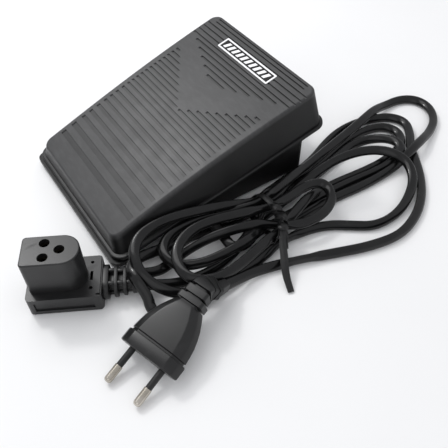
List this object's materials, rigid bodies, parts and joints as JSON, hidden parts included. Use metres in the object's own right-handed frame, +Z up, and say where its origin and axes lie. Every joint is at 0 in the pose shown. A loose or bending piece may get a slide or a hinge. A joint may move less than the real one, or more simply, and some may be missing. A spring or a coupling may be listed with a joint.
{
  "type": "sewing machine foot controller",
  "caption": "Electronic foot controller: hinged ribbed treadle over a sprung base, with a tied hank of flat cord, a right-angle socket connector and a two-pin mains plug.",
  "frame": {"origin": "on the floor under the middle of the pedal's base", "axes": "+Z up, +Y from the heel (hinge) to the toe of the pedal, +X to the right of the foot"},
  "size_m": [0.1805, 0.2922, 0.06],
  "materials": {
    "black_plastic": "fine moulded texture, satin",
    "badge_black": "smooth",
    "white_print": "printed white",
    "steel": "plain",
    "zinc_steel": "zinc plated",
    "white_nylon": "nylon",
    "brass": "plain",
    "rubber": "matt",
    "board_green": "lacquered board",
    "capacitor_yellow": "glossy",
    "copper_wire": "enamelled copper",
    "aluminium": "satin",
    "component_black": "moulded",
    "resistor_tan": "lacquered",
    "terminal_grey": "moulded",
    "track_brown": "laminate",
    "cord_black": "soft vinyl sheath",
    "connector_black": "moulded, satin",
    "soft_black": "soft vinyl",
    "plug_black": "moulded vinyl",
    "nickel": "nickel plated",
    "tie_black": "thin film over wire"
  },
  "bodies": {
    "base": {"base_tray": "black_plastic", "chassis_cover": "black_plastic", "cover_screws": "zinc_steel", "rubber_feet": "rubber", "stop_pads": "rubber", "cord_gland": "rubber", "circuit_board": "board_green", "board_screws": "zinc_steel", "film_capacitor": "capacitor_yellow", "choke_coil": "copper_wire", "heatsink": "aluminium", "triac": "component_black", "resistors": "resistor_tan", "terminal_block": "terminal_grey", "track_board": "track_brown", "cord_clamp": "black_plastic", "clamp_screws": "zinc_steel", "cord_tail": "cord_black", "connector_block": "connector_black", "connector_plate": "connector_black", "socket_contacts": "brass", "connector_relief": "soft_black", "plug_collar": "plug_black", "plug_body": "plug_black", "plug_pins": "nickel", "pin_sleeves": "soft_black", "plug_relief": "soft_black", "cord_hank": "cord_black", "mains_cord_floor": "cord_black", "twist_tie": "tie_black"},
    "treadle": {"treadle": "black_plastic", "badge_plate": "badge_black", "badge_frame": "white_print", "hinge_pin": "steel"},
    "plunger": {"plunger": "white_nylon", "wiper_contact": "brass", "return_spring": "steel"}
  },
  "joints": [
    {"name": "treadle_hinge", "type": "hinge", "parent": "base", "child": "treadle", "pos_m": [0, -0.058, 0.0095], "axis": [-1, 0, 0], "range_deg": [0, 9], "stiffness_Nm_per_rad": 4, "springref_deg": -6.88},
    {"name": "plunger_slide", "type": "slide", "parent": "base", "child": "plunger", "axis": [0, 0, -1], "range_m": [0, 0.01063], "deforming": ["return_spring"]}
  ],
  "couplings": [
    {"joint": "plunger_slide", "follows": "treadle_hinge", "m_per_rad": 0.067517}
  ]
}
